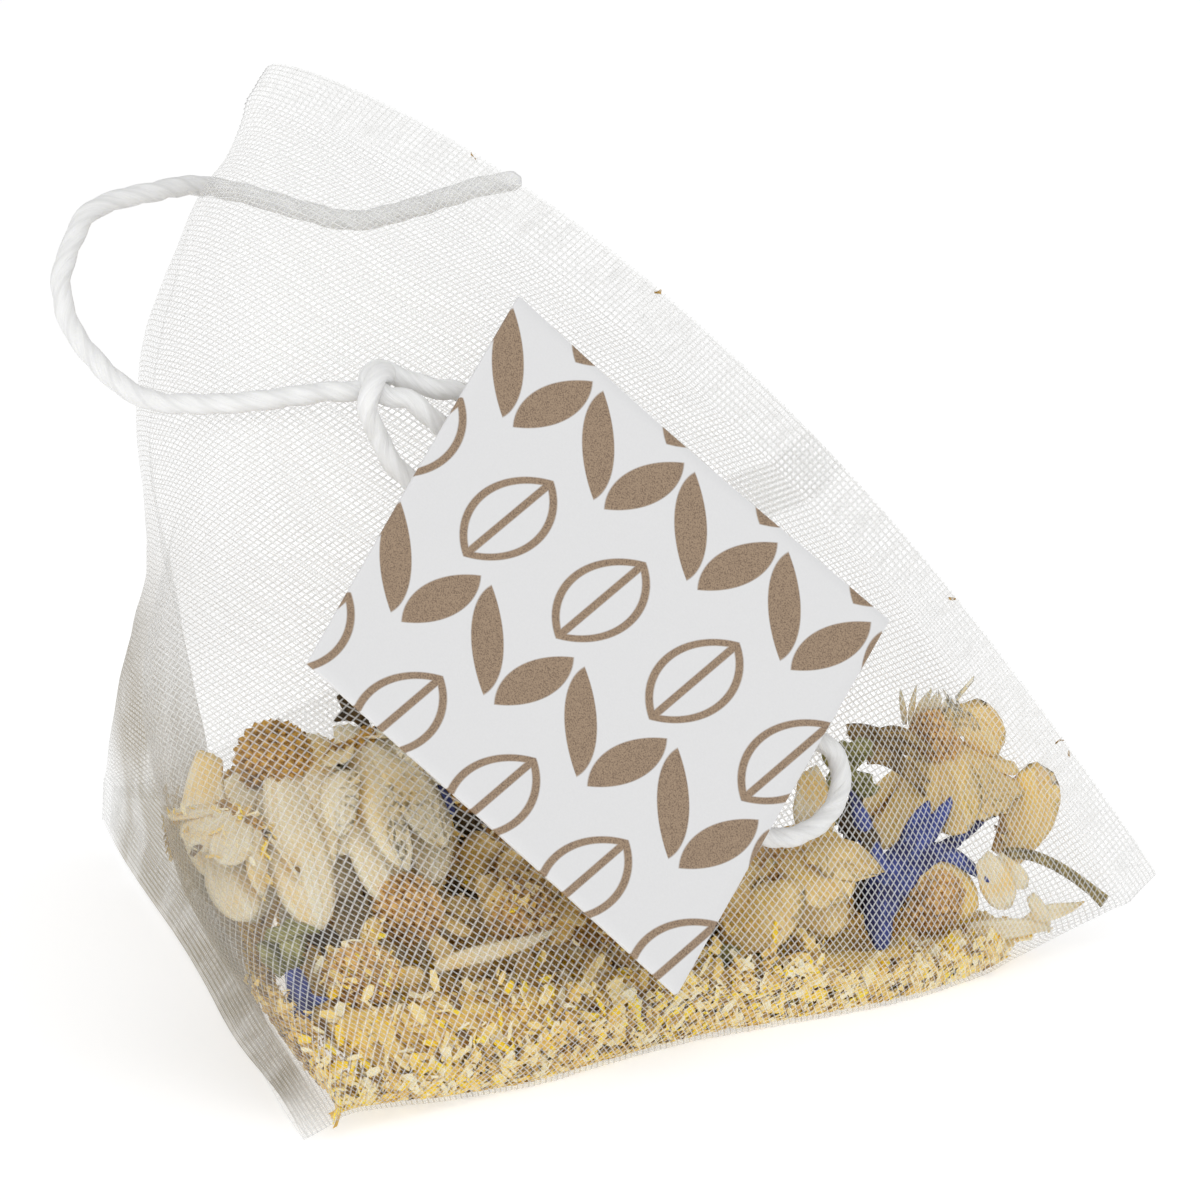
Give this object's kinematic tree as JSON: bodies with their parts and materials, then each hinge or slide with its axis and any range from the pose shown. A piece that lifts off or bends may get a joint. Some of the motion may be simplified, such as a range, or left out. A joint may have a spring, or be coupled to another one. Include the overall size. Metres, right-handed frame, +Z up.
{
  "type": "pyramid tea bag",
  "caption": "Pyramid tea bag of woven mesh with dried flower heads inside, a cotton string and a square paper tag.",
  "frame": {"origin": "centre of the bag's own box, on the table it stands on", "axes": "+Z up, +Y along the lower seal from its near end to its far end, +X towards the low far corner of the upper seal"},
  "size_m": [0.0546, 0.0605, 0.0453],
  "materials": {
    "mesh": "fine open plain weave",
    "string": "twisted cotton yarn",
    "paper": "smooth matt paper with brown print",
    "flower": "dry petals and yellow buttons",
    "crumb": "dry crumb",
    "blue_petal": "dry blue petals",
    "stalk": "dry stalk",
    "leaf": "dry leaf"
  },
  "bodies": {
    "root": {"mesh_bag": "mesh", "crumb_bed": "crumb", "flower_head_1": "flower", "flower_head_2": "flower", "flower_head_3": "flower", "flower_head_4": "flower", "flower_head_5": "flower", "flower_head_6": "flower", "flower_head_7": "flower", "flower_head_8": "flower", "flower_head_9": "flower", "flower_head_10": "flower", "flower_head_11": "flower", "flower_head_12": "flower", "flower_head_13": "flower", "flower_head_14": "flower", "flower_head_15": "flower", "flower_head_16": "flower", "flower_head_17": "flower", "flower_stalk": "stalk", "cornflower_1": "blue_petal", "cornflower_2": "blue_petal", "leaf_1": "leaf", "leaf_2": "leaf", "string": "string", "string_knot": "string", "string_loop": "string", "string_tail": "string", "tag": "paper"}
  },
  "joints": []
}
